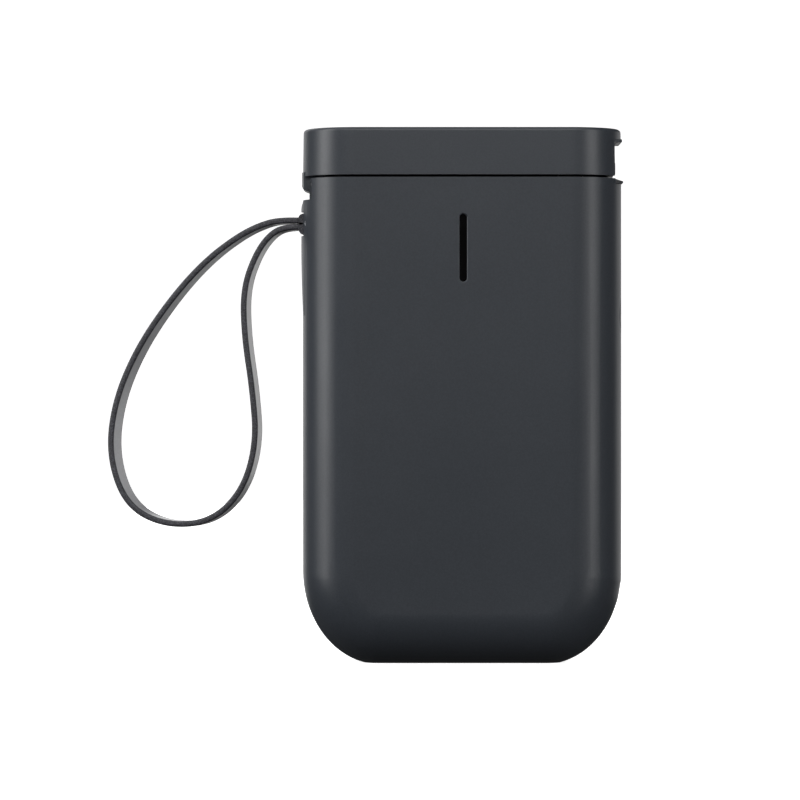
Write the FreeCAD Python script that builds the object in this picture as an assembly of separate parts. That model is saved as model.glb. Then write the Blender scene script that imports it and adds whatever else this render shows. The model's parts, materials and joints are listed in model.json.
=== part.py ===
import FreeCAD, Part
import math
import os

# Pocket label maker: a hand-sized two-shell case with a hinged lid, a thermal print
# mechanism under the lid's free end, a drop-in label roll and a leather wrist strap.
# Millimetres. Origin: centre of the flat base. +Z up, front faces -Y, labels leave at +X.

V = FreeCAD.Vector
os.makedirs("parts", exist_ok=True)

# ---------------------------------------------------------------- driving dimensions
WIDTH = 77.15
DEPTH = 28.0
HEIGHT = 129.0
WALL = 1.6
CORNER_X, CORNER_Z = 18.6, 22.8      # lower corners, seen from the front: quarter ellipses
EDGE_R = 13.0            # rounding between the front face and the sides
BASE_CUT = 0.5           # how much the round bottom is cut flat
BODY_TOP = 117.0
SEAM = 0.6
PART_FRONT, PART_REAR = 0.05, 0.15   # the parting line between the two shells
TONGUE_DEPTH, TONGUE_LONG, TONGUE_GAP = 1.0, 0.93, 0.1   # stepped edge that closes the parting line
LID_EDGE_R = 0.9
LID_DRAFT = 0.15         # the lid's walls lean in this much from the seam to the top
FIT = 0.05               # radial clearance of a running fit
AIR = 0.3                # clearance between moving bodies
ARC_STEPS = 12           # points along each quarter ellipse

HALF_W = WIDTH / 2
HALF_D = DEPTH / 2
LID_BOTTOM = BODY_TOP + SEAM
INNER_W = HALF_W - WALL
INNER_D = HALF_D - WALL
INNER_R = EDGE_R - WALL

# narrow window in the front face
SLIT_X, SLIT_Z = 0.1, 100.0
SLIT_W, SLIT_H = 1.75, 16.2
SLIT_RIM = 0.3
LENS_GAP, LENS_DEEP = 0.06, 0.9
LENS_FLANGE, LENS_FLANGE_T = 2.4, 0.8

# lid hinge on the left, in a slot in the body's rim
HINGE_X, HINGE_Z, HINGE_PIN_R = -35.6, 115.6, 0.9
KNUCKLE_R, KNUCKLE_HALF, KNUCKLE_PROUD = 2.3, 4.6, 0.25
NOSE_R = 1.9
EAR_IN, EAR_OUT, EAR_R = 4.9, 6.9, 1.7
SLOT_HALF, SLOT_FLOOR, SLOT_WALL_X, SLOT_BLOCK = 8.2, 111.9, -31.6, 1.4

# wrist strap bar inside a swelling on the left side
BAR_X, BAR_Z, BAR_R = -37.2, 106.2, 0.9
LUG_LOW, LUG_SLOPE, LUG_HIGH = 84.0, 101.0, 111.9
LUG_SHOULDER = LUG_HIGH - 2.6
LUG_PROUD = 0.45
LUG_PLAN_R = 12.5        # plan radius of the swelling, flatter than the case's own side
LUG_ROOT, LUG_DEEP = 0.4, 4.5
LUG_IN, LUG_OUT, LUG_SIDE = 3.9, 5.9, 8.0
BAR_END = LUG_OUT - 0.6
STRAP_ROOM_R, STRAP_ROOM_WALL_R = 2.95, 4.1

# label roll and its trough
ROLL_X, ROLL_Z, ROLL_R, ROLL_HALF = -8.0, 96.0, 18.0, 7.5
CORE_R, CORE_WALL, CORE_PROUD = 6.5, 1.0, 0.2
BIN_R, BIN_WALL, BIN_HALF = 18.7, 1.2, 8.2
BIN_RIM, BIN_RIM_T = 1.2, 1.0
DECK_Z = 115.2
LABEL_Z, LABEL_T, LABEL_HALF = 117.13, 0.14, 6.5
LABEL_LINE = [(-7.0, 114.35), (20.5, LABEL_Z), (36.2, LABEL_Z)]

# platen, gear train and motor
PLATEN_X, PLATEN_Z, PLATEN_R, PLATEN_HALF = 27.0, 121.3, 4.0, 7.3
SHAFT_R, SHAFT_END = 1.5, 8.7
BUSH_WALL = 0.9
CHEEK_IN, CHEEK_OUT = 7.7, 8.5
GEAR_A0, GEAR_A1 = 8.75, 9.85        # layer of the slow gears, along Y
GEAR_B0, GEAR_B1 = 10.0, 11.1        # layer of the motor's pinion
MODULE, BACKLASH = 0.5, 0.14
PRESSURE = math.radians(20)
TOOTH_TIP, TOOTH_ROOT = 0.92, 1.2    # in modules
TEETH_PINION, TEETH_BIG, TEETH_SMALL, TEETH_IDLER, TEETH_PLATEN = 10, 30, 10, 18, 16
MOTOR_X, MOTOR_Z, MOTOR_R = 24.4, 97.5, 7.4
MOTOR_Y0, MOTOR_Y1, MOTOR_NOSE_Y, MOTOR_NOSE_R = -5.0, 7.0, 8.2, 2.6
MOTOR_SHAFT_R, MOTOR_SHAFT_Y0 = 0.75, 2.2
MOTOR_SCREW_X = (MOTOR_X - 5.2, MOTOR_X + 5.2)
MOTOR_SCREW_R, MOTOR_SCREW_Y = 0.6, 5.0
BRACKET_X0, BRACKET_X1, BRACKET_HALF_Z = MOTOR_X - 8.6, MOTOR_X + 8.2, 6.0
REDUCER_X, REDUCER_Z = 21.8, 107.2
IDLER_X, IDLER_Z = 26.0, 112.8
AXLE_R = 0.75

# stamped chassis and print head
CHASSIS_X0, CHASSIS_X1, CHASSIS_TOP, CHASSIS_LOW = 13.2, 33.2, 116.3, 89.0
CHASSIS_PTS = [(CHASSIS_X0, 92.0), (19.0, CHASSIS_LOW), (30.4, CHASSIS_LOW), (CHASSIS_X1, 94.0),
               (CHASSIS_X1, CHASSIS_TOP), (CHASSIS_X0, CHASSIS_TOP)]
CHASSIS_T = 0.8
HEAD_NOTCH = (18.4, 114.6)
SHELF_X0, SHELF_X1, SHELF_Z = 15.4, 31.0, 108.2
HEAD_PIN_X, HEAD_PIN_Z, HEAD_PIN_R = 20.4, 113.2, 1.0
HEAD_X0, HEAD_X1, HEAD_Z0, HEAD_Z1, HEAD_HALF = 19.4, 31.6, 114.4, 116.3, 7.2
ARM_X0, ARM_X1, ARM_Z0, ARM_Y, ARM_T = 18.9, 22.6, 111.6, 5.4, 1.6
TILE_X0, TILE_X1, TILE_Z1, TILE_HALF = 22.6, 31.4, 116.95, 7.0
HEATER_HALF_X, HEATER_HALF_Y, HEATER_Z1 = 0.6, 6.6, 117.05
SPRING_X, SPRING_Y, SPRING_Z0, SPRING_TOP = 30.7, 6.2, 109.35, 114.2
COIL_R, COIL_WIRE_R, COIL_PITCH, COILS = 0.7, 0.17, 0.62, 8

# label outlet: ledge on the body, pocket and lip on the lid
LEDGE_X0, LEDGE_X1, LEDGE_Z0, LEDGE_Z1 = 33.6, 38.75, 115.8, 116.85
LEDGE_HALF, LEDGE_NOSE_Z, LEDGE_NOSE_R, LEDGE_GAP = 7.4, 0.45, 0.18, 0.05
POCKET_WALL_X, POCKET_HALF, POCKET_SKIN = 36.6, 7.6, 1.2
LIP_Z, LIP_X, LIP_UP, LIP_DOWN, LIP_ROUND = 125.75, 38.45, 0.65, 0.15, 0.25
TEAR_TEETH, TEAR_LOW, TEAR_HIGH, TEAR_T, TEAR_DEPTH = 12, 118.0, 120.6, 0.25, 0.35

# inner frame of the lid
FRAME_X0, FRAME_X1, FRAME_HALF, FRAME_Z = -26.0, 31.4, 10.2, 125.9
FRAME_CHEEK = [(22.4, 126.0), (23.6, 119.0), (30.2, 119.0), (31.4, 126.0)]
FRAME_RIB_X0, FRAME_RIB_X1, FRAME_RIB_Z, FRAME_RIB_Y = -24.0, 20.0, 124.0, 8.0
LID_SCREW_X = (-22.0, 17.0)
LID_SCREW_Z0, LID_SCREW_Z1, LID_SCREW_R, LID_SCREW_HEAD_R = 125.0, 127.3, 0.8, 1.5

# power key on the right side
BUTTON_Z, BUTTON_R, BUTTON_FLANGE = 84.0, 4.5, 0.6
BUTTON_SWITCH_X = 33.2
LIGHT_Z, LIGHT_R, LIGHT_GAP = BUTTON_Z + 9, 0.7, 0.02

# battery, boards and charging socket
BATTERY_X, BATTERY_Y0, BATTERY_Y1, BATTERY_Z0, BATTERY_Z1 = 22.0, -10.0, -2.6, 12.0, 48.0
BOARD_X, BOARD_Y0, BOARD_Y1, BOARD_Z0, BOARD_Z1 = 27.0, 1.0, 2.2, 12.0, 72.0
BOARD_FIXINGS = [(x, z) for x in (-BOARD_X + 2.4, BOARD_X - 2.4) for z in (BOARD_Z0 + 8, BOARD_Z1 - 3)]
BOARD_POST_R, BOARD_PILOT_R, BOARD_HOLE_R = 1.6, 0.55, 0.9
NECK_HALF, NECK_Z = 7.0, 4.6
CHIPS = [(-18, 57, 3.5), (17, 58, 3.0), (16, 40, 4.5), (-16, 26, 4.0), (0, 24, 2.5), (2, 40, 3.0)]
CHIP_T = 1.1
USB_X, USB_Z0, USB_Z1 = -12.0, 0.3, 7.7
USB_HALF_X, USB_HALF_Y, USB_WALL, USB_FIT = 4.45, 1.6, 0.3, 0.25
WIRE_R, WIRE_PITCH = 0.5, 1.6

# case screws
CASE_FIXINGS = [(x, z) for x in (-30.6, 30.6) for z in (23.0, 74.0)]
POST_R, COUNTERBORE_R, CLEAR_R, PILOT_R = 2.3, 2.2, 1.1, 0.8
SCREW_SEAT_Y, SCREW_TIP_Y = 7.0, -6.5

# wrist strap: a flat band; the route is its centre line in X and Z before the turn about Z
STRAP_T, STRAP_W = 1.45, 7.0
STRAP_ROUTE = [
    (-38.9, 107.0), (-42.4, 107.15), (-47.0, 106.6), (-53.5, 103.8), (-62.5, 97.2),
    (-71.5, 87.2), (-79.6, 75.2), (-84.8, 62.6), (-86.1, 50.0), (-82.0, 38.2),
    (-73.0, 33.2), (-61.5, 33.6), (-53.2, 41.0), (-49.6, 53.0), (-50.6, 66.0),
    (-52.6, 79.0), (-52.9, 90.5), (-49.8, 99.0), (-46.2, 103.8), (-42.6, 105.5),
    (-38.9, 105.45),
]
STRAP_TURN = -10.0       # degrees about +Z: the loop's far side hangs a little further back
FOLD_FIT = 0.15          # the fold round the bar is this much wider than the bar


# ---------------------------------------------------------------- helpers
def box(x0, x1, y0, y1, z0, z1):
    return Part.makeBox(x1 - x0, y1 - y0, z1 - z0, V(x0, y0, z0))


def rod_x(r, y, z, x0, x1):
    return Part.makeCylinder(r, x1 - x0, V(x0, y, z), V(1, 0, 0))


def rod_y(r, x, z, y0, y1):
    return Part.makeCylinder(r, y1 - y0, V(x, y0, z), V(0, 1, 0))


def rod_z(r, x, y, z0, z1):
    return Part.makeCylinder(r, z1 - z0, V(x, y, z0), V(0, 0, 1))


def plate_y(points, y0, y1):
    """A flat plate with a polygon outline in X and Z."""
    wire = Part.makePolygon([V(x, y0, z) for x, z in points + points[:1]])
    return Part.Face(wire).extrude(V(0, y1 - y0, 0))


def pill_y(x, z, width, height, y0, y1):
    """An upright bar with round ends, along Y."""
    r = width / 2
    half = height / 2 - r
    bar = box(x - r, x + r, y0, y1, z - half, z + half)
    ends = [rod_y(r, x, z + s * half, y0, y1) for s in (-1, 1)]
    return bar.fuse(ends).removeSplitter()


def mirror_y(shape):
    return shape.mirror(V(0, 0, 0), V(0, 1, 0))


def save(name, shape):
    """Write one piece; a group of separate pieces stays a compound of solids."""
    solids = shape.Solids
    out = solids[0] if len(solids) == 1 else Part.makeCompound(solids)
    if not out.isValid():
        print("NOT VALID", name)
    out.exportStep("parts/%s.step" % name)
    print("%-18s %2d solids %10.1f mm3" % (name, len(solids), out.Volume))


def quarter_ellipse(centre, start, end):
    """Edge from centre + start to centre + end, tangent to both arms."""
    points = []
    for i in range(ARC_STEPS + 1):
        angle = math.pi / 2 * i / ARC_STEPS
        points.append(centre + start * math.cos(angle) + end * math.sin(angle))
    curve = Part.BSplineCurve()
    curve.interpolate(points, InitialTangent=V(end), FinalTangent=start * -1)
    return curve.toShape()


def hull(half_w, half_d, bottom, top, corner_x, corner_z, edge_r):
    """Upright slab: round lower corners from the front, edges rounded all the way down."""
    y = -half_d
    left, right = -half_w + corner_x, half_w - corner_x
    mid = bottom + corner_z
    edges = [
        Part.LineSegment(V(-half_w, y, top), V(-half_w, y, mid)).toShape(),
        quarter_ellipse(V(left, y, mid), V(-corner_x, 0, 0), V(0, 0, -corner_z)),
        Part.LineSegment(V(left, y, bottom), V(right, y, bottom)).toShape(),
        quarter_ellipse(V(right, y, mid), V(0, 0, -corner_z), V(corner_x, 0, 0)),
        Part.LineSegment(V(half_w, y, mid), V(half_w, y, top)).toShape(),
        Part.LineSegment(V(half_w, y, top), V(-half_w, y, top)).toShape(),
    ]
    solid = Part.Face(Part.Wire(edges)).extrude(V(0, 2 * half_d, 0))
    rim = []
    for edge in solid.Edges:
        flat_y = edge.BoundBox.YLength < 0.01
        at_top = edge.BoundBox.ZMin > top - 0.01
        if flat_y and not at_top:
            rim.append(edge)
    return solid.makeFillet(edge_r, rim)


def round_bar(half_w, half_d, z0, z1, edge_r):
    """Upright bar with a rounded-rectangle section."""
    bar = box(-half_w, half_w, -half_d, half_d, z0, z1)
    upright = [e for e in bar.Edges if e.BoundBox.ZLength > (z1 - z0) / 2]
    return bar.makeFillet(edge_r, upright)


def drafted_bar(half_w, half_d, z0, z1, edge_r, draft):
    """Upright bar with a rounded-rectangle section that shrinks a little towards its top."""
    rims = []
    for z, inset in ((z0, 0.0), (z1, draft)):
        section = round_bar(half_w - inset, half_d - inset, z, z + 1, edge_r - inset)
        floor = [f for f in section.Faces if f.BoundBox.ZLength < 0.01 and f.BoundBox.ZMax < z + 0.5]
        rims.append(floor[0].OuterWire)
    return Part.makeLoft(rims, True, True)


def involute(angle):
    return math.tan(angle) - angle


def gear(teeth, x, z, y0, y1, phase, bore):
    """Spur gear with involute flanks; phase is the angle of a tooth from +X towards +Z."""
    pitch_r = MODULE * teeth / 2
    base_r = pitch_r * math.cos(PRESSURE)
    tip_r = pitch_r + TOOTH_TIP * MODULE
    root_r = pitch_r - TOOTH_ROOT * MODULE
    half_pitch = math.pi / (2 * teeth) - BACKLASH / (2 * pitch_r)
    flank_rs = [max(root_r, base_r), pitch_r, (pitch_r + tip_r) / 2, tip_r]
    flank = []
    for r in flank_rs:
        open_angle = math.acos(min(1.0, base_r / r))
        flank.append((r, half_pitch + involute(PRESSURE) - involute(open_angle)))
    side = [(root_r, flank[0][1])] + flank if root_r < base_r else flank
    points = []
    for i in range(teeth):
        centre = phase + 2 * math.pi * i / teeth
        for r, half in side:
            points.append((x + r * math.cos(centre - half), z + r * math.sin(centre - half)))
        for r, half in reversed(side):
            points.append((x + r * math.cos(centre + half), z + r * math.sin(centre + half)))
    return plate_y(points, y0, y1).cut(rod_y(bore, x, z, y0 - 1, y1 + 1))


def meshed_phase(x1, z1, teeth1, phase1, x2, z2, teeth2):
    """Phase of a second gear whose gap meets the first gear's tooth."""
    line = math.atan2(z2 - z1, x2 - x1)
    return line + math.pi + (line - phase1) * teeth1 / teeth2 + math.pi / teeth2


def screw_y(x, z, head_y, tip_y, head_r, shank_r, head_t):
    """Pan-head screw along Y with a cross recess; head at head_y, tip at tip_y."""
    way = 1 if tip_y > head_y else -1
    shank = Part.makeCylinder(shank_r, abs(tip_y - head_y), V(x, head_y, z), V(0, way, 0))
    head = Part.makeCylinder(head_r, head_t, V(x, head_y, z), V(0, -way, 0))
    rim = [e for e in head.Edges if abs(e.BoundBox.YMin - (head_y - way * head_t)) < 0.01
           and e.BoundBox.XLength > head_r]
    head = head.makeFillet(head_t * 0.4, rim)
    body = shank.fuse(head)
    top = head_y - way * head_t
    half, arm = head_r * 0.12, head_r * 0.62
    low, high = sorted((top + way * head_t * 0.6, top - way * 0.1))
    cross = box(x - half, x + half, low, high, z - arm, z + arm)
    cross = cross.fuse(box(x - arm, x + arm, low, high, z - half, z + half))
    return body.cut(cross)


# ---------------------------------------------------------------- case shells
outer = hull(HALF_W, HALF_D, -BASE_CUT, BODY_TOP, CORNER_X, CORNER_Z, EDGE_R)
outer = outer.cut(box(-HALF_W, HALF_W, -HALF_D, HALF_D, -2 * BASE_CUT, 0))


def inside_skin(depth):
    """Everything that lies deeper than this under the case's outer surface."""
    return hull(HALF_W - depth, HALF_D - depth, depth - BASE_CUT, BODY_TOP + 1,
                CORNER_X - depth, CORNER_Z - depth, EDGE_R - depth)


cavity = inside_skin(WALL)


def lug_bump():
    """Swelling on the left side that carries the strap bar; it fades out down the side."""
    x, y = -HALF_W, -LUG_SIDE
    out, root, foot, deep = x - LUG_PROUD, x + LUG_ROOT, x + LUG_ROOT / 4, x + LUG_DEEP
    outline = [
        Part.Arc(V(root, y, LUG_HIGH), V(out + LUG_PROUD / 2, y, (LUG_HIGH + LUG_SHOULDER) / 2 + 0.15),
                 V(out, y, LUG_SHOULDER)),
        Part.LineSegment(V(out, y, LUG_SHOULDER), V(out, y, LUG_SLOPE)),
        Part.Arc(V(out, y, LUG_SLOPE), V(out + LUG_PROUD / 3, y, (LUG_SLOPE + LUG_LOW) / 2 + 1),
                 V(foot, y, LUG_LOW)),
        Part.LineSegment(V(foot, y, LUG_LOW), V(deep, y, LUG_LOW)),
        Part.LineSegment(V(deep, y, LUG_LOW), V(deep, y, LUG_HIGH)),
        Part.LineSegment(V(deep, y, LUG_HIGH), V(root, y, LUG_HIGH)),
    ]
    edges = [curve.toShape() for curve in outline]
    side = Part.Face(Part.Wire(edges)).extrude(V(0, 2 * LUG_SIDE, 0))
    plan = rod_z(LUG_PLAN_R, LUG_PLAN_R - HALF_W - LUG_PROUD, 0, LUG_LOW, LUG_HIGH)
    return side.common(plan).cut(cavity)


def strap_pocket():
    """Room around the bar for the strap, open to the side."""
    room = rod_y(STRAP_ROOM_R, BAR_X, BAR_Z, -LUG_IN, LUG_IN)
    mouth = box(-HALF_W - 3, BAR_X, -LUG_IN, LUG_IN, BAR_Z - STRAP_ROOM_R, BAR_Z + STRAP_ROOM_R)
    return room.fuse(mouth)


def hinge_ear():
    """Upright lug in the hinge slot with a round head about the pin."""
    head = rod_y(EAR_R, HINGE_X, HINGE_Z, EAR_IN, EAR_OUT)
    stem = box(HINGE_X - EAR_R * 0.75, HINGE_X + EAR_R, EAR_IN, EAR_OUT, SLOT_FLOOR - 0.5, HINGE_Z)
    return head.fuse(stem)


def hinge_block():
    """Thicker wall round the hinge slot."""
    side = SLOT_HALF + SLOT_BLOCK
    block = box(-HALF_W, SLOT_WALL_X + SLOT_BLOCK, -side, side, SLOT_FLOOR - SLOT_BLOCK, BODY_TOP)
    return block.common(outer)


def usb_opening():
    """Oval hole through the base, a little wider than the charging socket."""
    half_x, half_y = USB_HALF_X + USB_FIT, USB_HALF_Y + USB_FIT
    port = box(USB_X - half_x, USB_X + half_x, -half_y, half_y, -1, WALL + 1)
    upright = [e for e in port.Edges if e.BoundBox.ZLength > 1]
    return port.makeFillet(half_y - 0.05, upright)


def case_solid():
    """Both shells as one hollow solid, before it is split at mid depth."""
    pocket_shell = rod_y(STRAP_ROOM_WALL_R, BAR_X, BAR_Z, -LUG_OUT, LUG_OUT).common(outer)
    shell = outer.cut(cavity).fuse([pocket_shell, hinge_block(), lug_bump()])
    shell = shell.cut(strap_pocket())
    slot = box(-HALF_W - 1, SLOT_WALL_X, -SLOT_HALF, SLOT_HALF, SLOT_FLOOR, BODY_TOP + 1)
    shell = shell.cut(slot).fuse([hinge_ear(), mirror_y(hinge_ear())])
    return shell.cut([
        rod_y(HINGE_PIN_R + FIT, HINGE_X, HINGE_Z, -EAR_OUT - 1, EAR_OUT + 1),
        rod_y(BAR_R, BAR_X, BAR_Z, -BAR_END, BAR_END),
        box(LEDGE_X0 - LEDGE_GAP, HALF_W + 1, -LEDGE_HALF, LEDGE_HALF, LEDGE_Z0, BODY_TOP + 1),
        rod_x(BUTTON_R + AIR, 0, BUTTON_Z, INNER_W - 1, HALF_W + 1),
        rod_x(LIGHT_R, 0, LIGHT_Z, INNER_W - 1, HALF_W + 1),
        usb_opening(),
    ])


case = case_solid()
front_half = box(-WIDTH, WIDTH, -DEPTH, PART_FRONT, -WALL, HEIGHT)
rear_half = box(-WIDTH, WIDTH, PART_REAR, DEPTH, -WALL, HEIGHT)


def tongue_room():
    """Step cut into the front shell's inner edge."""
    step = box(-WIDTH, WIDTH, -TONGUE_LONG - TONGUE_GAP, PART_FRONT + WALL, -WALL, HEIGHT)
    return step.common(inside_skin(TONGUE_DEPTH - TONGUE_GAP / 2))


def rear_zone():
    """The rear half and a rib into the step, so that light can't pass the parting line."""
    rib = box(-WIDTH, WIDTH, -TONGUE_LONG, PART_REAR, -WALL, HEIGHT)
    rib = rib.common(inside_skin(TONGUE_DEPTH + TONGUE_GAP / 2))
    rib = rib.cut([rod_y(POST_R + TONGUE_GAP, x, z, -HALF_D, HALF_D) for x, z in CASE_FIXINGS])
    return rear_half.fuse(rib)


def front_shell():
    """Front half of the case: slit window opening and blind screw posts."""
    shell = case.common(front_half).cut(tongue_room())
    shell = shell.cut(pill_y(SLIT_X, SLIT_Z, SLIT_W, SLIT_H, -HALF_D - 1, -INNER_D + 1))
    rim = []
    for edge in shell.Edges:
        size = edge.BoundBox
        on_face = abs(size.YMin + HALF_D) < 0.01 and size.YLength < 0.01
        if on_face and size.XMin > SLIT_X - SLIT_W and size.XMax < SLIT_X + SLIT_W:
            rim.append(edge)
    shell = shell.makeFillet(SLIT_RIM, rim)
    posts = [rod_y(POST_R, x, z, -HALF_D + 1, PART_FRONT).common(outer) for x, z in CASE_FIXINGS]
    pilots = [rod_y(PILOT_R, x, z, -8, 1) for x, z in CASE_FIXINGS]
    return shell.fuse(posts).cut(pilots)


def rear_shell():
    """Rear half of the case: counterbored screw posts and posts for the main board."""
    posts = [rod_y(COUNTERBORE_R + 0.7, x, z, 4.0, HALF_D - 1).common(outer) for x, z in CASE_FIXINGS]
    necks = [rod_y(POST_R, x, z, PART_REAR, 5.0) for x, z in CASE_FIXINGS]
    clear = [rod_y(CLEAR_R, x, z, -1, 8) for x, z in CASE_FIXINGS]
    wells = [rod_y(COUNTERBORE_R, x, z, SCREW_SEAT_Y, HALF_D + 1) for x, z in CASE_FIXINGS]
    board_posts = [rod_y(BOARD_POST_R, x, z, BOARD_Y1, INNER_D + 0.2) for x, z in BOARD_FIXINGS]
    pilots = [rod_y(BOARD_PILOT_R, x, z, BOARD_Y1 - 1, 8) for x, z in BOARD_FIXINGS]
    shell = case.common(rear_zone()).fuse(posts + necks).cut(clear + wells)
    return shell.fuse(board_posts).cut(pilots)


save("front_shell", front_shell())
save("rear_shell", rear_shell())
save("case_screws", Part.makeCompound(
    [screw_y(x, z, SCREW_SEAT_Y, SCREW_TIP_Y, 1.9, PILOT_R, 1.2) for x, z in CASE_FIXINGS]))


def view_window():
    """Smoked insert behind the slit, with a flange glued inside the front face."""
    lens = pill_y(SLIT_X, SLIT_Z, SLIT_W - LENS_GAP, SLIT_H - LENS_GAP, -HALF_D + LENS_DEEP, -INNER_D)
    flange = pill_y(SLIT_X, SLIT_Z, SLIT_W + LENS_FLANGE, SLIT_H + LENS_FLANGE,
                    -INNER_D, -INNER_D + LENS_FLANGE_T)
    return lens.fuse(flange)


save("view_window", view_window())

# ---------------------------------------------------------------- hinge and strap bar
save("hinge_pin", rod_y(HINGE_PIN_R, HINGE_X, HINGE_Z, -EAR_OUT, EAR_OUT))
save("strap_bar", rod_y(BAR_R, BAR_X, BAR_Z, -BAR_END, BAR_END))


def outlet_ledge():
    """Thin plate the label slides out over, set into the body's rim; its nose slopes down."""
    profile = [(LEDGE_X0, LEDGE_Z0), (LEDGE_X1, LEDGE_Z0), (LEDGE_X1, LEDGE_Z0 + LEDGE_NOSE_Z),
               (POCKET_WALL_X + AIR, LEDGE_Z1), (LEDGE_X0, LEDGE_Z1)]
    plate = plate_y(profile, -LEDGE_HALF + LEDGE_GAP, LEDGE_HALF - LEDGE_GAP)
    nose = [e for e in plate.Edges if e.BoundBox.XMin > LEDGE_X1 - 0.01 and e.BoundBox.YLength > 5]
    return plate.makeFillet(LEDGE_NOSE_R, nose)


save("outlet_ledge", outlet_ledge())


# ---------------------------------------------------------------- label bay
def roll_bin():
    """Trough for the label roll: round floor, two cheeks and a rim; open at the top."""
    half = BIN_HALF + BIN_WALL
    x0, x1 = ROLL_X - BIN_R - BIN_WALL, ROLL_X + BIN_R + BIN_WALL
    outside = rod_y(BIN_R + BIN_WALL, ROLL_X, ROLL_Z, -half, half)
    outside = outside.fuse(box(x0, x1, -half, half, ROLL_Z, DECK_Z))
    inside = rod_y(BIN_R, ROLL_X, ROLL_Z, -BIN_HALF, BIN_HALF)
    inside = inside.fuse(box(x0 + BIN_WALL, x1 - BIN_WALL, -BIN_HALF, BIN_HALF, ROLL_Z, DECK_Z + 1))
    rim = box(x0 - 2 * BIN_RIM_T, x1, -half - BIN_RIM, half + BIN_RIM, DECK_Z - BIN_RIM_T, DECK_Z)
    view = pill_y(SLIT_X, SLIT_Z, SLIT_W, SLIT_H - 3, -half - 1, -BIN_HALF + 0.5)
    return outside.fuse(rim).cut([inside, view])


save("roll_bin", roll_bin())


def label_stock():
    return rod_y(ROLL_R, ROLL_X, ROLL_Z, -ROLL_HALF, ROLL_HALF).cut(
        rod_y(CORE_R, ROLL_X, ROLL_Z, -ROLL_HALF - 1, ROLL_HALF + 1))


save("label_stock", label_stock())
save("roll_core", rod_y(CORE_R, ROLL_X, ROLL_Z, -ROLL_HALF - CORE_PROUD, ROLL_HALF + CORE_PROUD).cut(
    rod_y(CORE_R - CORE_WALL, ROLL_X, ROLL_Z, -ROLL_HALF - 1, ROLL_HALF + 1)))


def label_strip():
    """The label web from the roll's top over the print head to the outlet."""
    upper = [(x, z + LABEL_T) for x, z in reversed(LABEL_LINE)]
    return plate_y(LABEL_LINE + upper, -LABEL_HALF, LABEL_HALF)


save("label_strip", label_strip())

# ---------------------------------------------------------------- print mechanism
def print_chassis():
    """Two stamped side plates joined by cross bars below and behind the print head."""
    notch_x, notch_z = HEAD_NOTCH
    side = plate_y(CHASSIS_PTS, CHEEK_IN, CHEEK_OUT)
    side = side.cut(box(notch_x, CHASSIS_X1 + 1, CHEEK_IN - 1, CHEEK_OUT + 1, notch_z, CHASSIS_TOP + 1))
    holes = [rod_y(MOTOR_R - 3.2, MOTOR_X, MOTOR_Z, CHEEK_IN - 1, CHEEK_OUT + 1)]
    for x, z in ((REDUCER_X, REDUCER_Z), (IDLER_X, IDLER_Z)):
        holes.append(rod_y(AXLE_R, x, z, CHEEK_IN - 1, CHEEK_OUT + 1))
    half = CHEEK_IN + 0.1
    floor = box(CHASSIS_X0 + CHASSIS_T, 32.0, -half, half, CHASSIS_LOW, CHASSIS_LOW + CHASSIS_T)
    wall = box(CHASSIS_X0, CHASSIS_X0 + CHASSIS_T, -half, half, 92.0, 110.0)
    shelf = box(SHELF_X0, SHELF_X1, -half, half, SHELF_Z, SHELF_Z + CHASSIS_T)
    both = side.cut(holes).fuse([mirror_y(side), floor, wall, shelf])
    return both.cut(rod_y(HEAD_PIN_R, HEAD_PIN_X, HEAD_PIN_Z, -CHEEK_OUT - 1, CHEEK_OUT + 1))


def motor_can():
    """Round motor housing with its bearing nose and a blind bore for the shaft."""
    can = rod_y(MOTOR_R, MOTOR_X, MOTOR_Z, MOTOR_Y0, MOTOR_Y1)
    can = can.fuse(rod_y(MOTOR_NOSE_R, MOTOR_X, MOTOR_Z, MOTOR_Y1, MOTOR_NOSE_Y))
    bore = rod_y(MOTOR_SHAFT_R + FIT, MOTOR_X, MOTOR_Z, MOTOR_SHAFT_Y0 - 0.2, MOTOR_NOSE_Y + 1)
    return can.cut([bore] + motor_screw_holes)


motor_screw_holes = [rod_y(MOTOR_SCREW_R, x, MOTOR_Z, MOTOR_SCREW_Y, CHEEK_OUT) for x in MOTOR_SCREW_X]
save("print_chassis", print_chassis().cut(motor_screw_holes))
save("motor_screws", Part.makeCompound(
    [screw_y(x, MOTOR_Z, CHEEK_OUT, MOTOR_SCREW_Y, 1.2, MOTOR_SCREW_R, 0.7) for x in MOTOR_SCREW_X]))
save("motor_can", motor_can())
save("motor_shaft", rod_y(MOTOR_SHAFT_R, MOTOR_X, MOTOR_Z, MOTOR_SHAFT_Y0, GEAR_B1))


def motor_bracket():
    """Plate between the motor's face and the drive-side chassis plate."""
    plate = box(BRACKET_X0, BRACKET_X1, MOTOR_Y1, CHEEK_IN,
                MOTOR_Z - BRACKET_HALF_Z, MOTOR_Z + BRACKET_HALF_Z)
    return plate.cut([rod_y(MOTOR_NOSE_R + 0.1, MOTOR_X, MOTOR_Z, 6.0, 9.0)] + motor_screw_holes)


save("motor_bracket", motor_bracket())
save("gear_axles", Part.makeCompound([
    rod_y(AXLE_R, REDUCER_X, REDUCER_Z, CHEEK_IN - 1.0, GEAR_B1 + 0.3),
    rod_y(AXLE_R, IDLER_X, IDLER_Z, CHEEK_IN - 1.0, GEAR_A1)]))

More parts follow.
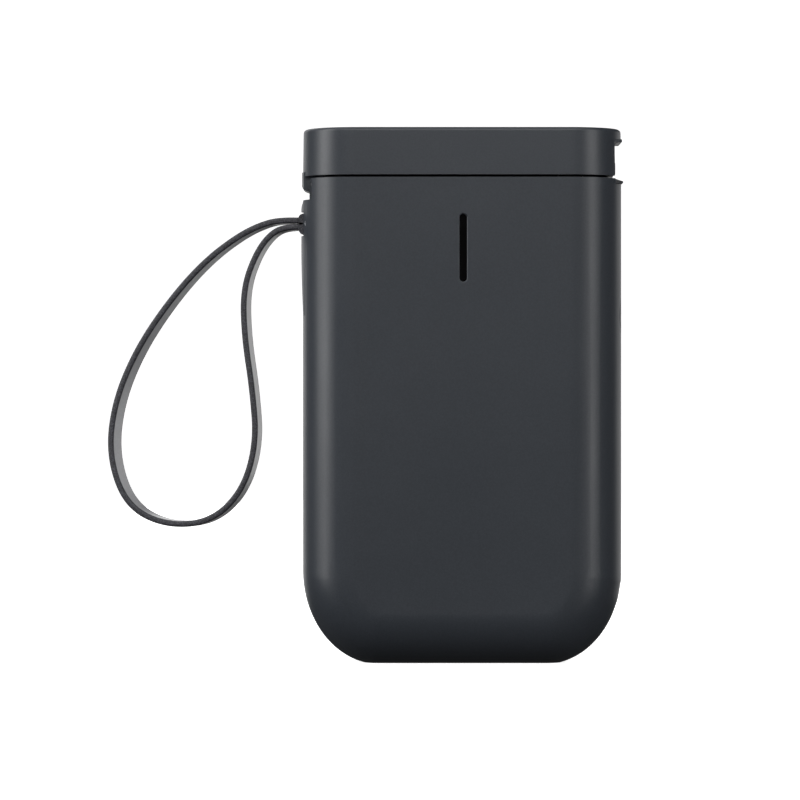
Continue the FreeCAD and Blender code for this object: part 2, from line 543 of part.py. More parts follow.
phase_pinion = 0.0
phase_big = meshed_phase(MOTOR_X, MOTOR_Z, TEETH_PINION, phase_pinion, REDUCER_X, REDUCER_Z, TEETH_BIG)
phase_small = 0.0
phase_idler = meshed_phase(REDUCER_X, REDUCER_Z, TEETH_SMALL, phase_small, IDLER_X, IDLER_Z, TEETH_IDLER)
phase_platen = meshed_phase(IDLER_X, IDLER_Z, TEETH_IDLER, phase_idler, PLATEN_X, PLATEN_Z, TEETH_PLATEN)


def reduction_gear():
    big = gear(TEETH_BIG, REDUCER_X, REDUCER_Z, GEAR_B0, GEAR_B1, phase_big, AXLE_R + FIT)
    small = gear(TEETH_SMALL, REDUCER_X, REDUCER_Z, GEAR_A0, GEAR_B0, phase_small, AXLE_R + FIT)
    return big.fuse(small)


save("motor_pinion", gear(TEETH_PINION, MOTOR_X, MOTOR_Z, GEAR_B0, GEAR_B1, phase_pinion, MOTOR_SHAFT_R))
save("reduction_gear", reduction_gear())
save("idler_gear", gear(TEETH_IDLER, IDLER_X, IDLER_Z, GEAR_A0, GEAR_A1, phase_idler, AXLE_R + FIT))

# print head, hinged on a pin and pushed up by two springs
def printhead_plate():
    plate = box(HEAD_X0, HEAD_X1, -HEAD_HALF, HEAD_HALF, HEAD_Z0, HEAD_Z1)
    arms = []
    for y in (-ARM_Y, ARM_Y):
        arms.append(box(ARM_X0, ARM_X1, y - ARM_T / 2, y + ARM_T / 2, ARM_Z0, HEAD_Z0 + 0.2))
    return plate.fuse(arms).cut(rod_y(HEAD_PIN_R + FIT, HEAD_PIN_X, HEAD_PIN_Z, -9, 9))


save("printhead_plate", printhead_plate())


def printhead_ceramic():
    """Ceramic tile with the raised heater line under the platen."""
    tile = box(TILE_X0, TILE_X1, -TILE_HALF, TILE_HALF, HEAD_Z1, TILE_Z1)
    line = box(PLATEN_X - HEATER_HALF_X, PLATEN_X + HEATER_HALF_X, -HEATER_HALF_Y, HEATER_HALF_Y,
               TILE_Z1 - 0.05, HEATER_Z1)
    return tile.fuse(line)


save("printhead_ceramic", printhead_ceramic())
save("printhead_driver", box(24.0, 30.0, -5.0, 5.0, HEAD_Z0 - 0.8, HEAD_Z0))
save("head_pivot_pin", rod_y(HEAD_PIN_R, HEAD_PIN_X, HEAD_PIN_Z, -CHEEK_OUT, CHEEK_OUT))


def head_springs():
    """Two compression springs, modelled as stacked rings with a thin core wire."""
    springs = []
    for y in (-SPRING_Y, SPRING_Y):
        rings = [Part.makeTorus(COIL_R, COIL_WIRE_R, V(SPRING_X, y, SPRING_Z0 + COIL_PITCH * i))
                 for i in range(COILS)]
        stem = rod_z(COIL_WIRE_R + 0.03, SPRING_X + COIL_R, y, SPRING_Z0 - 0.15, SPRING_TOP)
        springs.append(rings[0].fuse(rings[1:] + [stem]))
    return Part.makeCompound(springs)


save("head_springs", head_springs())
save("head_ribbon", box(14.6, 18.6, -5.0, 5.0, 109.6, 109.8).fuse(
    box(14.4, 14.6, -5.0, 5.0, 98.0, 109.8)))


# ---------------------------------------------------------------- electronics and battery
def main_board():
    board = box(-BOARD_X, BOARD_X, BOARD_Y0, BOARD_Y1, BOARD_Z0, BOARD_Z1)
    corners = [e for e in board.Edges if e.BoundBox.YLength > 1]
    board = board.makeFillet(2.0, corners)
    holes = [rod_y(BOARD_HOLE_R, x, z, 0, 4) for x, z in BOARD_FIXINGS]
    neck = box(USB_X - NECK_HALF, USB_X + NECK_HALF, BOARD_Y0, BOARD_Y1, NECK_Z, BOARD_Z0 + 1)
    notch = box(USB_X - USB_HALF_X - 0.05, USB_X + USB_HALF_X + 0.05, -5, 5, 0, USB_Z1 + 0.05)
    return board.cut(holes).fuse(neck).cut(notch)


def oval_block(half_x, half_y, z0, z1):
    """Upright block with nearly half-round ends."""
    block = box(USB_X - half_x, USB_X + half_x, -half_y, half_y, z0, z1)
    return block.makeFillet(half_y - 0.05, [e for e in block.Edges if e.BoundBox.ZLength > 5])


def usb_socket():
    """Reversible oval socket with its tongue; the shell is open downwards."""
    shell = oval_block(USB_HALF_X, USB_HALF_Y, USB_Z0, USB_Z1)
    hole = oval_block(USB_HALF_X - USB_WALL, USB_HALF_Y - USB_WALL, USB_Z0 - 1, USB_Z1 - 0.8)
    tongue = box(USB_X - 3.3, USB_X + 3.3, -0.33, 0.33, USB_Z0 + 1.0, USB_Z1 - 0.5)
    return shell.cut(hole).fuse(tongue)


save("usb_c_socket", usb_socket())
save("main_board", main_board())
save("board_screws", Part.makeCompound(
    [screw_y(x, z, BOARD_Y0, 6.5, 1.2, BOARD_PILOT_R, 0.7) for x, z in BOARD_FIXINGS]))
save("shield_can", box(-9, 9, BOARD_Y1, BOARD_Y1 + 1.8, 50, 66))


def board_chips():
    return Part.makeCompound([box(x - half, x + half, BOARD_Y1, BOARD_Y1 + CHIP_T, z - half, z + half)
                              for x, z, half in CHIPS])


save("board_chips", board_chips())


def battery_pack():
    pack = box(-BATTERY_X, BATTERY_X, BATTERY_Y0, BATTERY_Y1, BATTERY_Z0, BATTERY_Z1)
    return pack.makeFillet(1.6, [e for e in pack.Edges if e.BoundBox.ZLength > 20])


save("battery_pack", battery_pack())
save("battery_pad", box(-18, 18, -INNER_D, BATTERY_Y0, 16, 44))


def lead_pair(x, y, z0, z1):
    return Part.makeCompound([rod_z(WIRE_R, x + s * WIRE_PITCH / 2, y, z0, z1) for s in (-1, 1)])


save("battery_leads", lead_pair(12.0, -3.6, BATTERY_Z1, 62.0))
save("battery_plug", box(9.8, 14.2, -5.0, BOARD_Y0, 62.0, 66.0))
save("motor_leads", lead_pair(22.0, -4.0, BOARD_Z1, CHASSIS_LOW))
save("rfid_board", box(-24.0, -10.0, -11.6, -10.6, 60.0, 74.0))
save("gap_sensor", box(15.0, 18.0, -4.0, 4.0, 110.4, 113.4))

# power button on the right side
def power_button():
    """Round key cap with a flange behind the case wall and a short stem."""
    cap = rod_x(BUTTON_R, 0, BUTTON_Z, INNER_W - 1.3, HALF_W + 1).common(outer)
    flange = rod_x(BUTTON_R + BUTTON_FLANGE, 0, BUTTON_Z, INNER_W - 2.3, INNER_W - 1.2)
    stem = rod_x(1.1, 0, BUTTON_Z, BUTTON_SWITCH_X + 0.9, INNER_W - 1.5)
    return cap.fuse([flange, stem])


def tact_switch():
    """Small square switch with its round plunger."""
    body = box(BUTTON_SWITCH_X - 2.0, BUTTON_SWITCH_X - 0.4, -2.5, 2.5, BUTTON_Z - 2.5, BUTTON_Z + 2.5)
    return body.fuse(rod_x(1.0, 0, BUTTON_Z, BUTTON_SWITCH_X - 0.5, BUTTON_SWITCH_X + 0.3))


save("power_button", power_button())
save("switch_board", box(BUTTON_SWITCH_X - 3.0, BUTTON_SWITCH_X - 2.0, -5.5, 5.5, 78.5, 87.8))
save("tact_switch", tact_switch())
save("led_light_pipe", rod_x(LIGHT_R - LIGHT_GAP, 0, LIGHT_Z, 34.6, HALF_W - LIGHT_GAP))


# ---------------------------------------------------------------- lid
def knuckle():
    """Hinge barrel under the lid's wall; its outside follows the curve of the case's side."""
    front_x = -HALF_W + WALL
    barrel = rod_y(KNUCKLE_R, HINGE_X, HINGE_Z, -KNUCKLE_HALF, KNUCKLE_HALF)
    nose = rod_y(NOSE_R, front_x, HINGE_Z + 0.2, -KNUCKLE_HALF, KNUCKLE_HALF)
    web = box(front_x - NOSE_R, HINGE_X + KNUCKLE_R, -KNUCKLE_HALF, KNUCKLE_HALF, HINGE_Z, LID_BOTTOM + 1)
    limit = round_bar(HALF_W + KNUCKLE_PROUD, HALF_D + KNUCKLE_PROUD, 110, 125, EDGE_R + KNUCKLE_PROUD)
    return barrel.fuse([nose, web]).common(limit)


def lid_cover():
    """Cap with a rounded-rectangle plan, label pocket at one end and knuckle at the other."""
    cover = drafted_bar(HALF_W, HALF_D, LID_BOTTOM, HEIGHT, EDGE_R, LID_DRAFT)
    top_rim = [e for e in cover.Edges if e.BoundBox.ZMin > HEIGHT - 0.01]
    cover = cover.makeFillet(LID_EDGE_R, top_rim)
    hollow = drafted_bar(INNER_W, INNER_D, LID_BOTTOM, HEIGHT - WALL, INNER_R, LID_DRAFT)
    cover = cover.cut(hollow)
    pad = box(POCKET_WALL_X - POCKET_SKIN, INNER_W + 0.2, -POCKET_HALF, POCKET_HALF,
              LID_BOTTOM + 0.2, LIP_Z + 0.5)
    pocket = box(POCKET_WALL_X, HALF_W + 1, -POCKET_HALF, POCKET_HALF, LID_BOTTOM - 1, LIP_Z)
    relief = box(POCKET_WALL_X - 2, POCKET_WALL_X + 1, -POCKET_HALF, POCKET_HALF,
                 LID_BOTTOM - 1, LID_BOTTOM + 0.2)
    pin_bore = rod_y(HINGE_PIN_R + FIT, HINGE_X, HINGE_Z, -KNUCKLE_HALF - 1, KNUCKLE_HALF + 1)
    return cover.fuse(pad).cut([pocket, relief]).fuse(knuckle()).cut(pin_bore)


def lip_bar():
    """Overhanging lip along the top of the label pocket."""
    half = POCKET_HALF - 0.2
    bar = box(POCKET_WALL_X + 0.4, LIP_X, -half, half, LIP_Z - LIP_DOWN, LIP_Z + LIP_UP)
    return bar.makeFillet(LIP_ROUND, [e for e in bar.Edges if e.BoundBox.YLength > 5])


save("lid_cover", lid_cover().fuse(lip_bar()))


def lid_frame():
    """Inner frame: a plate under the lid's top with two cheeks that hold the platen."""
    top = box(FRAME_X0, FRAME_X1, -FRAME_HALF, FRAME_HALF, FRAME_Z, HEIGHT - WALL)
    cheek = plate_y(FRAME_CHEEK, CHEEK_IN, CHEEK_OUT)
    ribs = [box(FRAME_RIB_X0, FRAME_RIB_X1, y - 0.5, y + 0.5, FRAME_RIB_Z, FRAME_Z + 0.1)
            for y in (-FRAME_RIB_Y, FRAME_RIB_Y)]
    frame = top.fuse([cheek, mirror_y(cheek)]).fuse(ribs)
    seat = rod_y(SHAFT_R + BUSH_WALL, PLATEN_X, PLATEN_Z, CHEEK_IN - 0.4, CHEEK_OUT + 0.4)
    holes = [seat, mirror_y(seat)]
    for x in LID_SCREW_X:
        holes.append(rod_z(LID_SCREW_R, x, 0, LID_SCREW_Z0, HEIGHT))
        holes.append(rod_z(LID_SCREW_HEAD_R + 0.1, x, 0, LID_SCREW_Z0, FRAME_Z + 0.05))
    return frame.cut(holes)


def bush(y0, y1):
    ring = rod_y(SHAFT_R + BUSH_WALL, PLATEN_X, PLATEN_Z, y0, y1)
    return ring.cut(rod_y(SHAFT_R + FIT, PLATEN_X, PLATEN_Z, y0 - 1, y1 + 1))


def lid_screw(x):
    """Short screw pointing up, with a cross recess in its head."""
    head_z = LID_SCREW_Z0 - 0.8
    shank = rod_z(LID_SCREW_R, x, 0, LID_SCREW_Z0 - 0.1, LID_SCREW_Z1)
    head = rod_z(LID_SCREW_HEAD_R, x, 0, head_z, LID_SCREW_Z0)
    slot = box(x - 1.0, x + 1.0, -0.2, 0.2, head_z - 0.1, head_z + 0.4)
    cross = box(x - 0.2, x + 0.2, -1.0, 1.0, head_z - 0.1, head_z + 0.4)
    return shank.fuse(head).cut([slot, cross])


save("lid_frame", lid_frame())
save("lid_screws", Part.makeCompound([lid_screw(x) for x in LID_SCREW_X]))
save("platen_bushes", Part.makeCompound([bush(CHEEK_IN, CHEEK_OUT), bush(-CHEEK_OUT, -CHEEK_IN)]))


def tear_bar():
    """Toothed steel strip across the outlet, on the lid side of the slot."""
    y0 = POCKET_HALF - 0.6
    pitch = 2 * y0 / TEAR_TEETH
    x = POCKET_WALL_X + 0.01
    points = [V(x, -y0, TEAR_HIGH)]
    for i in range(TEAR_TEETH):
        points.append(V(x, -y0 + i * pitch, TEAR_LOW + TEAR_DEPTH))
        points.append(V(x, -y0 + (i + 0.5) * pitch, TEAR_LOW))
    points.append(V(x, y0, TEAR_LOW + TEAR_DEPTH))
    points.append(V(x, y0, TEAR_HIGH))
    return Part.Face(Part.makePolygon(points + points[:1])).extrude(V(TEAR_T, 0, 0))


save("tear_bar", tear_bar())
save("platen_rubber", rod_y(PLATEN_R, PLATEN_X, PLATEN_Z, -PLATEN_HALF, PLATEN_HALF).cut(
    rod_y(SHAFT_R, PLATEN_X, PLATEN_Z, -SHAFT_END, SHAFT_END)))
save("platen_shaft", rod_y(SHAFT_R, PLATEN_X, PLATEN_Z, -SHAFT_END, GEAR_A1 + 0.2))
save("platen_gear", gear(TEETH_PLATEN, PLATEN_X, PLATEN_Z, GEAR_A0, GEAR_A1, phase_platen, SHAFT_R))


# ---------------------------------------------------------------- wrist strap
def rounded_route(points):
    """Straight runs joined by tangent arcs, each as large as its two runs allow."""
    edges = []
    last = V(points[0][0], 0, points[0][1])
    radii = []
    for i in range(1, len(points) - 1):
        before = V(points[i - 1][0], 0, points[i - 1][1])
        here = V(points[i][0], 0, points[i][1])
        after = V(points[i + 1][0], 0, points[i + 1][1])
        run_in = here - before
        run_out = after - here
        turn = run_in.getAngle(run_out)
        trim = 0.45 * min(run_in.Length, run_out.Length)
        radii.append(trim / math.tan(turn / 2))
        unit_in = V(run_in).normalize()
        unit_out = V(run_out).normalize()
        start = here - unit_in * trim
        end = here + unit_out * trim
        inward = V(unit_out - unit_in).normalize()
        middle = here + inward * (radii[-1] / math.cos(turn / 2) - radii[-1])
        edges.append(Part.LineSegment(last, start).toShape())
        edges.append(Part.Arc(start, middle, end).toShape())
        last = end
    edges.append(Part.LineSegment(last, V(points[-1][0], 0, points[-1][1])).toShape())
    return Part.Wire(edges), radii


def across(edge, where):
    """Half the strap's thickness, square to the route at one of its parameters."""
    tangent = edge.tangentAt(where)
    return V(-tangent.z, 0, tangent.x) * (STRAP_T / 2)


def band_piece(edge):
    """The strap's thickness laid along one run or arc, widened to the strap's width."""
    first, last = edge.FirstParameter, edge.LastParameter
    middle = (first + last) / 2
    a, m, b = [edge.valueAt(where) for where in (first, middle, last)]
    na, nm, nb = [across(edge, where) for where in (first, middle, last)]
    if edge.Curve.TypeId == "Part::GeomLine":
        sides = [Part.LineSegment(a + na, b + nb), Part.LineSegment(b - nb, a - na)]
    else:
        sides = [Part.Arc(a + na, m + nm, b + nb), Part.Arc(b - nb, m - nm, a - na)]
    loop = [sides[0].toShape(), Part.LineSegment(b + nb, b - nb).toShape(),
            sides[1].toShape(), Part.LineSegment(a - na, a + na).toShape()]
    piece = Part.Face(Part.Wire(loop)).extrude(V(0, STRAP_W, 0))
    piece.translate(V(0, -STRAP_W / 2, 0))
    return piece


def wrist_strap():
    """Leather band: a loop hanging from the bar, and the fold around the bar."""
    route, radii = rounded_route(STRAP_ROUTE)
    print("strap radii", [round(r, 1) for r in radii])
    pieces = [band_piece(edge) for edge in route.Edges]
    band = pieces[0].fuse(pieces[1:]).removeSplitter()
    section = STRAP_T * STRAP_W
    print("strap length %.1f mm, volume / section %.1f mm" % (route.Length, band.Volume / section))
    band.rotate(V(BAR_X, 0, BAR_Z), V(0, 0, 1), STRAP_TURN)
    fold = rod_y(BAR_R + FOLD_FIT + STRAP_T, BAR_X, BAR_Z, -STRAP_W / 2, STRAP_W / 2)
    fold = fold.cut(rod_y(BAR_R + 2 * FIT, BAR_X, BAR_Z, -STRAP_W, STRAP_W))
    return band.fuse(fold)


save("wrist_strap", wrist_strap())
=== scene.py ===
import json
import math

import bmesh
import bpy
import numpy as np
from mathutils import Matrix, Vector


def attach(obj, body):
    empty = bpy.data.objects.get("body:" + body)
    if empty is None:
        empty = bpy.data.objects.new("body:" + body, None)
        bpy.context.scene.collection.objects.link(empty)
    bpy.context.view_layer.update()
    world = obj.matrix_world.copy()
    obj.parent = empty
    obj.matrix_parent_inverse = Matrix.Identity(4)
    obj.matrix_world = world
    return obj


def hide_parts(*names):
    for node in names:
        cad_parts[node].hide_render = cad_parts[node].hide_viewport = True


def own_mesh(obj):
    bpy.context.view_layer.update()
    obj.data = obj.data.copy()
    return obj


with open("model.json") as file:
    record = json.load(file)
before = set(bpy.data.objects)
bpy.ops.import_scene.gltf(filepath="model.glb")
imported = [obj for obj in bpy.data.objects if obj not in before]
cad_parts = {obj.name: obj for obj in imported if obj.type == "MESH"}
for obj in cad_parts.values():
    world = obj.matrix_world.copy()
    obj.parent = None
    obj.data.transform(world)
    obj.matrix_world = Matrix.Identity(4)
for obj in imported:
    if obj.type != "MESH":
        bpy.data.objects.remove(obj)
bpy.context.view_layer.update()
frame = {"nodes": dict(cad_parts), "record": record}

NODES = frame["nodes"]
SCENE = bpy.context.scene
MM = 0.001


# ---------------------------------------------------------------- camera
CAMERA_PLACE = (-0.01505, -1.0, 0.06356)
LENS_MM, SENSOR_MM = 185.4, 36.0


def look_through_camera():
    """A long lens about a metre away, level, square on to the front face."""
    data = bpy.data.cameras.new("camera")
    data.sensor_width = SENSOR_MM
    data.lens = LENS_MM
    data.clip_start = 0.05
    data.clip_end = 20.0
    camera = bpy.data.objects.new("camera", data)
    camera.location = CAMERA_PLACE
    camera.rotation_euler = (math.radians(90), 0, 0)
    SCENE.collection.objects.link(camera)
    SCENE.camera = camera


look_through_camera()

# ---------------------------------------------------------------- wrist strap
BAR = (-37.2 * MM, 0.0, 106.2 * MM)
STRAP_ROUTE = [
    (-38.9, 107.0), (-42.4, 107.15), (-47.0, 106.6), (-53.5, 103.8), (-62.5, 97.2),
    (-71.5, 87.2), (-79.6, 75.2), (-84.8, 62.6), (-86.1, 50.0), (-82.0, 38.2),
    (-73.0, 33.2), (-61.5, 33.6), (-53.2, 41.0), (-49.6, 53.0), (-50.6, 66.0),
    (-52.6, 79.0), (-52.9, 90.5), (-49.8, 99.0), (-46.2, 103.8), (-42.6, 105.5),
    (-38.9, 105.45),
]
STRAP_TURN = math.radians(-10)                    # the loop's far side hangs further back
NEAR_TWIST = (-50.0 * MM, math.radians(8.6))      # how the band leans in its inner leg
FAR_TWIST = (-86.0 * MM, math.radians(14.5))      # and in its outer leg
STRAP_WIDTH = 7.0 * MM
STRAP_THICK = 1.45 * MM
EDGE_ZONE = 0.4 * STRAP_THICK                     # how far the raw edge's look reaches in
FOLD_INNER = 1.05 * MM
FOLD_HALF_ANGLE, FOLD_STEPS = 172, 40
SQUARENESS = 4                                    # 2 would make the fold round


def strap_centreline():
    """Points along the smooth spline that the route's points control."""
    curve = bpy.data.curves.new("strap_line", "CURVE")
    curve.dimensions = "3D"
    curve.resolution_u = 12
    spline = curve.splines.new("NURBS")
    spline.points.add(len(STRAP_ROUTE) - 1)
    for point, (x, z) in zip(spline.points, STRAP_ROUTE):
        reach = x * MM - BAR[0]
        point.co = (BAR[0] + reach * math.cos(STRAP_TURN), reach * math.sin(STRAP_TURN), z * MM, 1.0)
    spline.order_u = 3
    spline.use_endpoint_u = True
    holder = bpy.data.objects.new("strap_line", curve)
    SCENE.collection.objects.link(holder)
    bpy.context.view_layer.update()
    mesh = bpy.data.meshes.new_from_object(holder)
    points = [v.co.copy() for v in mesh.vertices]
    bpy.data.objects.remove(holder)
    bpy.data.meshes.remove(mesh)
    return points


def band_section(width, thick):
    """Outline of the strap's section: flat faces, softly rounded edges, support points between."""
    corner = thick * 0.3
    flat_w, flat_t = width / 2 - corner, thick / 2 - corner
    support_w = flat_w - thick * 0.2
    outline = []
    for sign_w, sign_t, start in ((1, 1, 0), (-1, 1, 90), (-1, -1, 180), (1, -1, 270)):
        rounded = []
        for step in range(4):
            angle = math.radians(start + step * 30)
            rounded.append((sign_w * flat_w + corner * math.cos(angle),
                            sign_t * flat_t + corner * math.sin(angle)))
        support = [(sign_w * support_w, sign_t * thick / 2)]
        outline += rounded + support if sign_w == sign_t else support + rounded
    return outline


def build_mesh(name, verts, faces):
    """Mesh object with its faces turned outwards."""
    mesh = bpy.data.meshes.new(name)
    mesh.from_pydata(verts, [], faces)
    shape = bmesh.new()
    shape.from_mesh(mesh)
    bmesh.ops.recalc_face_normals(shape, faces=shape.faces)
    shape.to_mesh(mesh)
    shape.free()
    obj = bpy.data.objects.new(name, mesh)
    SCENE.collection.objects.link(obj)
    return obj


def tube_faces(rings, ring, base=0):
    """Faces that join rings of points, counted from base, into a tube with a cap at each end."""
    faces = []
    for i in range(rings - 1):
        here, there = base + i * ring, base + (i + 1) * ring
        for j in range(ring):
            k = (j + 1) % ring
            faces.append((here + j, here + k, there + k, there + j))
    last = base + (rings - 1) * ring
    faces.append(tuple(range(base, base + ring)))
    faces.append(tuple(reversed(range(last, last + ring))))
    return faces


def strap_across(x):
    """Direction of the band's width; it leans further round towards the outer leg."""
    share = (x - NEAR_TWIST[0]) / (FAR_TWIST[0] - NEAR_TWIST[0])
    lean = NEAR_TWIST[1] + share * (FAR_TWIST[1] - NEAR_TWIST[1])
    return Vector((math.sin(lean), math.cos(lean), 0.0))


def mark_edges(obj, values):
    """Say at each point how much it belongs to the band's raw edge."""
    mark = obj.data.attributes.new("edge_amount", "FLOAT", "POINT")
    mark.data.foreach_set("value", values)


def make_strap():
    """Leather band swept along the centreline, its width leaning a little as it goes round."""
    path = strap_centreline()
    section = band_section(STRAP_WIDTH, STRAP_THICK)
    count = len(path)
    verts, total = [], 0.0
    for i, point in enumerate(path):
        before, after = path[max(i - 1, 0)], path[min(i + 1, count - 1)]
        along = (after - before).normalized()
        total += (point - before).length
        normal = strap_across(point.x).cross(along).normalized()
        side = along.cross(normal).normalized()
        for w, t in section:
            verts.append(point + side * w + normal * t)
    strap = build_mesh("leather_strap", verts, tube_faces(count, len(section)))
    strap.data.polygons.foreach_set("use_smooth", [True] * len(strap.data.polygons))
    edge_values = [1.0 if abs(w) > STRAP_WIDTH / 2 - EDGE_ZONE else 0.0 for w, _ in section]
    mark_edges(strap, edge_values * count)
    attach(strap, "strap")
    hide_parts("wrist_strap")
    return strap


def make_strap_fold():
    """The turn of leather round the bar, bulging squarely out of the lug."""
    inner, outer = FOLD_INNER, FOLD_INNER + STRAP_THICK
    half = STRAP_WIDTH / 2
    verts = []
    for i in range(FOLD_STEPS + 1):
        angle = math.radians(FOLD_HALF_ANGLE * (2 * i / FOLD_STEPS - 1))
        across, up = math.cos(angle), math.sin(angle)
        bulge = (across ** SQUARENESS + up ** SQUARENESS) ** (-1 / SQUARENESS) if across < 0 else 1.0
        corners = ((inner, -half), (outer * bulge, -half), (outer * bulge, half), (inner, half))
        for radius, y in corners:
            verts.append((BAR[0] + radius * across, y, BAR[2] + radius * up))
    fold = build_mesh("strap_fold", verts, tube_faces(FOLD_STEPS + 1, len(corners)))
    mark_edges(fold, [1.0] * len(verts))
    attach(fold, "strap")
    return fold


STRAP = make_strap()
FOLD = make_strap_fold()


# ---------------------------------------------------------------- springs under the printhead
COIL_X, COIL_Y = 30.7 * MM, 6.2 * MM
COIL_LOW, COIL_HIGH, COIL_TURNS = 109.35 * MM, 113.95 * MM, 8
COIL_RADIUS, COIL_WIRE = 0.7 * MM, 0.17 * MM


def make_head_springs():
    """Two wire coils under the printhead."""
    around, ring = 24, 10
    steps = COIL_TURNS * around
    verts, faces = [], []
    for y in (-COIL_Y, COIL_Y):
        faces += tube_faces(steps + 1, ring, len(verts))
        for i in range(steps + 1):
            angle = math.tau * i / around
            outward = Vector((math.cos(angle), math.sin(angle), 0.0))
            centre = Vector((COIL_X, y, COIL_LOW + (COIL_HIGH - COIL_LOW) * i / steps))
            for j in range(ring):
                turn = math.tau * j / ring
                verts.append(centre + outward * (COIL_RADIUS + COIL_WIRE * math.cos(turn))
                             + Vector((0.0, 0.0, COIL_WIRE * math.sin(turn))))
    springs = build_mesh("head_coils", verts, faces)
    springs.data.polygons.foreach_set("use_smooth", [True] * len(springs.data.polygons))
    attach(springs, "case")
    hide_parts("head_springs")
    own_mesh(springs)
    return springs


SPRINGS = make_head_springs()


# ---------------------------------------------------------------- smooth shading for the CAD pieces
SMOOTH_ANGLE = math.radians(32)


def soften_normals(obj, angle):
    """Average the face normals round each point, within an angle, so curves shade smoothly.
    Large faces count for more, so that a flat face stays flat up to a small rounding at its rim."""
    mesh = obj.data
    faces, count = len(mesh.polygons), len(mesh.loops)
    loop_vert = np.zeros(count, np.int32)
    mesh.loops.foreach_get("vertex_index", loop_vert)
    co = np.zeros(len(mesh.vertices) * 3, np.float32)
    mesh.vertices.foreach_get("co", co)
    corners = co.reshape(-1, 3)[loop_vert]
    normals = np.zeros(faces * 3, np.float32)
    mesh.polygons.foreach_get("normal", normals)
    areas = np.zeros(faces, np.float32)
    mesh.polygons.foreach_get("area", areas)
    sizes = np.zeros(faces, np.int32)
    mesh.polygons.foreach_get("loop_total", sizes)
    starts = np.repeat(np.cumsum(sizes) - sizes, sizes)
    spot = np.arange(count) - starts
    size = np.repeat(sizes, sizes)
    ahead = corners[starts + (spot + 1) % size] - corners
    behind = corners[starts + (spot - 1) % size] - corners
    dots = (ahead * behind).sum(1)
    reach = np.linalg.norm(ahead, axis=1) * np.linalg.norm(behind, axis=1) + 1e-20
    opening = np.arccos(np.clip(dots / reach, -1, 1)) * np.repeat(areas / MM ** 2, sizes)
    flat = np.repeat(normals.reshape(-1, 3), sizes, axis=0)
    _, group = np.unique(np.round(corners * 1e6).astype(np.int64), axis=0, return_inverse=True)
    order = np.argsort(group.ravel(), kind="stable")
    members = np.bincount(group.ravel())
    first = np.repeat(np.cumsum(members) - members, members)
    each = np.repeat(members, members)
    one = np.repeat(np.arange(count), each)
    other = np.repeat(first, each) + np.arange(len(one)) - np.repeat(np.cumsum(each) - each, each)
    one, other = order[one], order[other]
    close = (flat[one] * flat[other]).sum(1) > math.cos(angle)
    total = np.zeros((count, 3))
    for axis in range(3):
        weight = np.where(close, flat[other, axis] * opening[other], 0.0)
        total[:, axis] = np.bincount(one, weight, minlength=count)
    total /= np.linalg.norm(total, axis=1, keepdims=True) + 1e-12
    mesh.polygons.foreach_set("use_smooth", [True] * faces)
    mesh.normals_split_custom_set(total.tolist())


for part in NODES.values():
    if part.name not in ("wrist_strap", "head_springs"):
        soften_normals(part, SMOOTH_ANGLE)


# ---------------------------------------------------------------- material building blocks
def srgb(r, g, b):
    """Linear colour from 0-255 display values."""
    def channel(value):
        value /= 255.0
        return value / 12.92 if value <= 0.04045 else ((value + 0.055) / 1.055) ** 2.4
    return (channel(r), channel(g), channel(b), 1.0)


